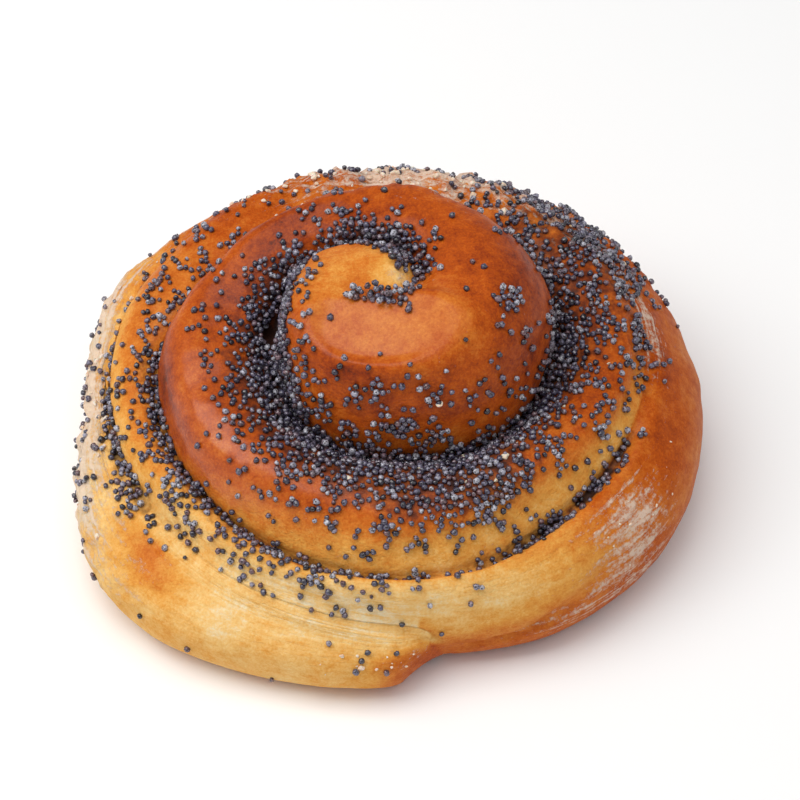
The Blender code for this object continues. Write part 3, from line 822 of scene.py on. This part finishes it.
clumps = ease(rough(skin, 2.6, 2, 21.0), -0.45, 0.45)
bare = 1 - ease(cover, 0.45, 0.85)
gaps = 0.85 * ease(rough(skin, 3.6, 2, 33.0), -0.1, 0.4) * spread(385, 0.62, 50, 0.32)
wanted = (1 - gaps) * clamp(1.12 * cover * (1 + bare * (1.5 * clumps - 0.75))) * (1 - ease(pit, 0.3, 0.6))
spots, ups, share_here = drawn_on_skin(wanted, SEED_DRAWS)
crowd = Crowd(SEED_GAP)
seed_at, seed_up = [], []
for p, up, chance in zip(spots, ups, share_here):
    centre = p + up * SEED_HEIGHT * (0.18 + 0.27 * draw.random())
    if all(((centre - q) ** 2).sum() > SEED_GAP**2 for q in crowd.near(centre)):
        crowd.add(centre)
        if draw.random() < chance:
            seed_at.append(centre)
            seed_up.append(up)
SEED_MARKS = (
    # angle and place across of single seeds on the tail
    (977, 0.57), (985, 0.6), (984, 0.74), (983, 0.92), (988, 0.94), (944, 1), (953, 1.15), (967, 1.4),
)


def nearest(angle, across):
    """The skin point at this place on the rope."""
    return int(np.argmin(((theta - angle) / 40) ** 2 + (share - across) ** 2))


for index in (nearest(angle, across) for angle, across in SEED_MARKS):
    seed_at.append(skin[index] + normals[index] * SEED_HEIGHT * 0.3)
    seed_up.append(normals[index])
print("seeds on the skin:", len(seed_at))

# %% [markdown]
# Seeds on top of seeds.
# In the deep groove the filling lies some seeds thick. Each piled seed tries a few spots, rests on what it
# touches there, and keeps the lowest.

# %% Seeds piled in the groove
PILE = (
    # angle of the groove, depth of the pile in mm
    (-300, 0.8), (-60, 0.9), (30, 1.2), (100, 1), (150, 1.3), (168, 0.5), (182, 0.1), (193, 0.4),
    (205, 1.4), (250, 1.5), (290, 1.5), (330, 1.3), (380, 1.3), (420, 0.8), (450, 0.3), (480, 0), (1000, 0),
)
PILED_APART, PILED_TOUCH = 0.96, 1.04    # mm between two middles: the least, and where they touch
piled = Crowd(1.2)
for p in seed_at:
    piled.add(p)
in_groove = np.where(share < 0.5, 1 - share / 0.30, 1 - (1 - share) / 0.22)
depth = clamp(along(PILE, groove_angle) * clamp(in_groove), 0, 3) * (cover > 0.55) * (share <= 1)
spots, ups, depths = drawn_on_skin(depth, PILE_DRAWS, 0.25)
pile_at = []
for p, most in zip(spots, depths):
    best = None
    for nudge in draw.normal(0, 0.45, (7, 2)):
        x, y = p[:2] + nudge
        rest = p[2] + 0.3
        touching = 0
        for q in piled.near((x, y, p[2] + 0.6)):
            gap = (q[0] - x) ** 2 + (q[1] - y) ** 2
            if gap < PILED_TOUCH**2:
                rest = max(rest, q[2] + (PILED_TOUCH**2 - gap) ** 0.5)
                touching += 1
        if touching and (best is None or rest < best[2]):
            best = np.array([x, y, rest])
    if best is not None and best[2] - p[2] < 0.45 + most:
        if all(((best - q) ** 2).sum() > PILED_APART**2 for q in piled.near(best)):
            piled.add(best)
            pile_at.append(best)
print("seeds piled in the groove:", len(pile_at))

# %% [markdown]
# The seed itself.
# A poppy seed is kidney shaped, a little over a millimetre long. One is made inside the node tree from a
# coarse sphere whose middle is pushed sideways, and it is then set on every point, turned and sized by that
# point's own attributes. Realising the instances at the end makes them real mesh, which an export keeps.

# %% Seed node tree
def socket_name(tree, label):
    return next(i.identifier for i in tree.interface.items_tree if i.in_out == "INPUT" and i.name == label)


def tree_with(name, inputs):
    tree = bpy.data.node_groups.new(name, "GeometryNodeTree")
    tree.interface.new_socket("Points", in_out="INPUT", socket_type="NodeSocketGeometry")
    for label, kind, value in inputs:
        made = tree.interface.new_socket(label, in_out="INPUT", socket_type=kind)
        if value is not None:
            made.default_value = value
    tree.interface.new_socket("Geometry", in_out="OUTPUT", socket_type="NodeSocketGeometry")
    g = Nodes(tree)
    start, end = tree.nodes.new("NodeGroupInput"), tree.nodes.new("NodeGroupOutput")
    return tree, g, start, end


seed_tree, g, start, end = tree_with("poppy_seeds", (
    ("Length", "NodeSocketFloat", SEED_LENGTH * MM), ("Width", "NodeSocketFloat", SEED_WIDTH * MM),
    ("Height", "NodeSocketFloat", SEED_HEIGHT * MM), ("Bend", "NodeSocketFloat", 0.7),
    ("Material", "NodeSocketMaterial", None),
))
ball = g.add("GeometryNodeMeshUVSphere", {"Segments": 6, "Rings": 4, "Radius": 0.5})
spot = g.add("GeometryNodeInputPosition")
apart = seed_tree.nodes.new("ShaderNodeSeparateXYZ")
seed_tree.links.new(spot, apart.inputs[0])
squared = g.math("POWER", g.math("ABSOLUTE", apart.outputs[0]), 2.0)
sideways = g.add("ShaderNodeCombineXYZ", {1: g.times(squared, start.outputs["Bend"])})
kidney = g.add("GeometryNodeSetPosition", {"Geometry": ball, "Offset": sideways})
size = g.add("ShaderNodeCombineXYZ", {
    0: start.outputs["Length"], 1: start.outputs["Width"], 2: start.outputs["Height"]})
scale = g.add("ShaderNodeVectorMath", {0: size, "Scale": g.point_value("size")}, operation="SCALE")
turn = g.add("FunctionNodeEulerToRotation", {"Euler": g.point_value("turn", "FLOAT_VECTOR")})
seeds = g.add("GeometryNodeInstanceOnPoints", {"Points": start.outputs["Points"], "Instance": kidney,
                                               "Rotation": turn, "Scale": scale})
tint = g.add("FunctionNodeRandomValue", {"Min": 0.0, "Max": 1.0, "Seed": 5}, data_type="FLOAT", out=1)
seeds = g.add("GeometryNodeStoreNamedAttribute", {"Geometry": seeds, "Name": "tint", "Value": tint},
              data_type="FLOAT", domain="INSTANCE")
seeds = g.add("GeometryNodeRealizeInstances", {"Geometry": seeds})
seeds = g.add("GeometryNodeSetShadeSmooth", {"Geometry": seeds})
seeds = g.add("GeometryNodeSetMaterial", {"Geometry": seeds, "Material": start.outputs["Material"]})
seed_tree.links.new(seeds, end.inputs[0])
print("seed tree nodes:", len(seed_tree.nodes))

# %% [markdown]
# Seed material.
# Poppy seeds are blue-grey with a fine net of ridges, and no two are quite alike. Each kept a random tint
# from the node tree, which picks its shade from a ramp. Cell noise draws the net, in colour and in bump.

# %% Seed material
seed_skin, n, shader = new_material("poppy_seed")
where = n.add("ShaderNodeTexCoord", out=3)
own = n.attribute("tint")
net = n.add("ShaderNodeTexVoronoi", {"Vector": where, "Scale": 3000}, out=0)
ridge = n.ramp(own, (
    (0, 36, 32, 42), (0.22, 72, 68, 92), (0.5, 110, 106, 128), (0.66, 110, 76, 80), (0.86, 144, 142, 160),
    (1, 184, 184, 194),
))
hollow = n.mix(own, linear(12, 10, 14), linear(40, 32, 36))
n.fill(shader, {
    "Base Color": n.mix(n.remap(net, 0.22, 0.66), hollow, ridge), "Roughness": 0.24,
    "Specular IOR Level": 0.90, "Normal": n.bump(net, 0.6, 0.0001),
})
print("seed material ready")

# %% Set the seeds out
def turned(up, draw, tip=0.35):
    """Euler angles that lay a seed on its side on the skin, spun and tipped at random."""
    up = Vector(up) + Vector(draw.normal(0, tip, 3))
    lay = up.normalized().to_track_quat("Z", "Y")
    return (lay @ Quaternion((0, 0, 1), float(draw.uniform(0, 2 * pi)))).to_euler()


def set_out(name, tree, places, turns, sizes, material):
    """Runs a node tree over loose points and keeps the result as a plain mesh."""
    holder = mesh_object(name + "_points", np.array(places), [], {"size": sizes})
    layer = holder.data.attributes.new("turn", "FLOAT_VECTOR", "POINT")
    layer.data.foreach_set("vector", np.array(turns, np.float32).ravel())
    modifier = holder.modifiers.new("nodes", "NODES")
    modifier.node_group = tree
    modifier[socket_name(tree, "Material")] = material
    graph = bpy.context.evaluated_depsgraph_get()
    made = bpy.data.meshes.new_from_object(holder.evaluated_get(graph), depsgraph=graph)
    made.name = name
    points = holder.data
    holder.modifiers.remove(modifier)
    bpy.data.objects.remove(holder)
    bpy.data.meshes.remove(points)
    piece = bpy.data.objects.new(name, made)
    bpy.context.scene.collection.objects.link(piece)
    return piece


def triangles_in(piece):
    return sum(len(p.vertices) - 2 for p in piece.data.polygons)


places = seed_at + pile_at
turns = [turned(up, draw) for up in seed_up] + [turned((0, 0, 1), draw, 1.5) for _ in pile_at]
sizes = np.clip(draw.normal(0.97, 0.14, len(places)), 0.66, 1.25)
poppy_seeds = set_out("poppy_seeds", seed_tree, places, turns, sizes, seed_skin)
print("poppy seeds:", len(places), "triangles:", triangles_in(poppy_seeds))

# %% [markdown]
# Crumbs and flour lumps.
# Where the back of the coil tore in the oven it carries dry flaky crumb and lumps of flour, and a few bits
# fell among the seeds. Each crumb is a small ball that noise pushes out of round after the instances are
# realised, so no two are alike.

# %% Crumb node tree
crumb_tree, g, start, end = tree_with("crumbs", (
    ("Size", "NodeSocketFloat", 1.0 * MM), ("Uneven", "NodeSocketFloat", 0.75 * MM),
    ("Material", "NodeSocketMaterial", None),
))
ball = g.add("GeometryNodeMeshIcoSphere", {"Radius": 0.5, "Subdivisions": 2})
scale = g.times(start.outputs["Size"], g.point_value("size"))
turn = g.add("FunctionNodeEulerToRotation", {"Euler": g.point_value("turn", "FLOAT_VECTOR")})
flat = g.add("ShaderNodeCombineXYZ", {0: scale, 1: g.times(scale, 0.8), 2: g.times(scale, 0.6)})
crumbs = g.add("GeometryNodeInstanceOnPoints", {"Points": start.outputs["Points"], "Instance": ball,
                                                "Rotation": turn, "Scale": flat})
crumbs = g.add("GeometryNodeRealizeInstances", {"Geometry": crumbs})
push = g.add("ShaderNodeTexNoise", {"Scale": 1500, "Detail": 2}, out=1)
push = g.add("ShaderNodeVectorMath", {0: push, 1: (0.5, 0.5, 0.5)}, operation="SUBTRACT")
push = g.add("ShaderNodeVectorMath", {0: push, "Scale": start.outputs["Uneven"]}, operation="SCALE")
crumbs = g.add("GeometryNodeSetPosition", {"Geometry": crumbs, "Offset": push})
crumbs = g.add("GeometryNodeSetMaterial", {"Geometry": crumbs, "Material": start.outputs["Material"]})
crumb_tree.links.new(crumbs, end.inputs[0])
print("crumb tree nodes:", len(crumb_tree.nodes))

# %% Crumb material and places
crumb_skin, n, shader = new_material("crumbs")
where = n.add("ShaderNodeTexCoord", out=3)
mealy = n.add("ShaderNodeTexNoise", {"Vector": where, "Scale": 900, "Detail": 4})
crumb_colour = n.mix(n.remap(mealy, 0.35, 0.7), linear(238, 226, 210), linear(206, 172, 138))
n.fill(shader, {
    "Base Color": crumb_colour, "Roughness": 0.85, "Subsurface Weight": 0.2, "Subsurface Scale": 0.0008,
    "Normal": n.bump(mealy, 0.5, 0.0002),
})
CRUMB_ZONES = (
    # angle, across, reach round, reach across, how many, smallest and largest in mm
    (452, 0.75, 30, 0.35, 70, 0.5, 1.7), (897, 0.75, 22, 0.4, 34, 0.4, 1.2),
    (800, 0.5, 36, 0.4, 34, 0.5, 1.3), (686, 0.68, 12, 0.18, 14, 0.2, 0.5),
    (95, 0.72, 25, 0.1, 12, 0.3, 0.8), (290, 0.35, 50, 0.2, 16, 0.35, 0.8), (981, 0.8, 6, 0.2, 10, 0.3, 1),
    (991, 0.85, 3, 0.15, 5, 0.3, 0.7),
)
CRUMB_MARKS = (
    # angle, across, size in mm
    (-72, 0.8, 1.3), (530, 0.06, 1.2), (295, 0.15, 1.2), (305, 0.45, 1.1), (255, 0.5, 1), (528, 0.1, 0.7),
)
crumb_at, crumb_turn, crumb_size = [], [], []


def add_crumb(index, size):
    crumb_at.append(skin[index] + normals[index] * size * 0.15)
    crumb_turn.append(turned(normals[index], draw))
    crumb_size.append(size)


for angle, across, reach, width, count, small, large in CRUMB_ZONES:
    chance = spread(angle, across, reach, width)
    for index in draw.choice(len(skin), size=count, replace=False, p=chance / chance.sum()):
        add_crumb(index, small + (large - small) * draw.random() ** 2)
for angle, across, size in CRUMB_MARKS:
    add_crumb(nearest(angle, across), size)
crumbs = set_out("crumbs", crumb_tree, crumb_at, crumb_turn, crumb_size, crumb_skin)
print("crumbs:", len(crumb_at), "triangles:", triangles_in(crumbs))

# %% [markdown]
# Floor and light.
# The photo's highlights lie on the dome's flat front and on the left crest, so the main soft light hangs
# above and to the left. A large area lamp there, a weaker one in front at the right and a pale world give
# the same: broad soft highlights and almost no hard shadow.

# %% Floor, lamp and world
floor_mesh = bpy.data.meshes.new("floor")
floor_mesh.from_pydata([(-3, -3, 0), (3, -3, 0), (3, 3, 0), (-3, 3, 0)], [], [(0, 1, 2, 3)])
floor = bpy.data.objects.new("floor", floor_mesh)
bpy.context.scene.collection.objects.link(floor)
paper, n, shader = new_material("pale_floor")
shader.inputs["Base Color"].default_value = (0.93, 0.93, 0.93, 1)
shader.inputs["Roughness"].default_value = 0.9
floor_mesh.materials.append(paper)

LAMPS = (
    # name, place, size across and along in m, power in W, colour
    ("softbox", (-0.27, -0.02, 0.54), (0.34, 0.70), 3.0, (1.0, 0.992, 0.98)),
    ("fill", (0.14, -0.12, 0.70), (0.60, 0.60), 1.4, (1.0, 1.0, 1.0)),
)
for name, place, (across, deep), power, colour in LAMPS:
    light = bpy.data.lights.new(name, "AREA")
    light.shape, light.size, light.size_y = "RECTANGLE", across, deep
    light.energy, light.color = power, colour
    lamp = bpy.data.objects.new(name, light)
    lamp.location = place
    lamp.rotation_euler = (Vector(place) - Vector((0, 0, 0.02))).to_track_quat("Z", "Y").to_euler()
    bpy.context.scene.collection.objects.link(lamp)
world = bpy.data.worlds.new("world")
world.use_nodes = True
n = Nodes(world.node_tree)
upward = world.node_tree.nodes.new("ShaderNodeSeparateXYZ")
n.set(upward.inputs[0], n.add("ShaderNodeTexCoord", out=0))
sky = world.node_tree.nodes["Background"]
n.set(sky.inputs["Strength"], n.remap(upward.outputs[2], 0.05, 0.6, 0.75, 0.28))
sky.inputs["Color"].default_value = (1, 1, 1, 1)
bpy.context.scene.world = world
print("lamps:", [row[0] for row in LAMPS])

# %% [markdown]
# Hand over.
# Dough and seeds together stand for the one solid of the imported model, and both ride on its one body.

# %% Attach the pieces to the body and hide the imported solid
for piece, slot in ((dough, "crust"), (poppy_seeds, "poppy_seed"), (crumbs, "crumbs")):
    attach(piece, "root")
    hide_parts("bun")
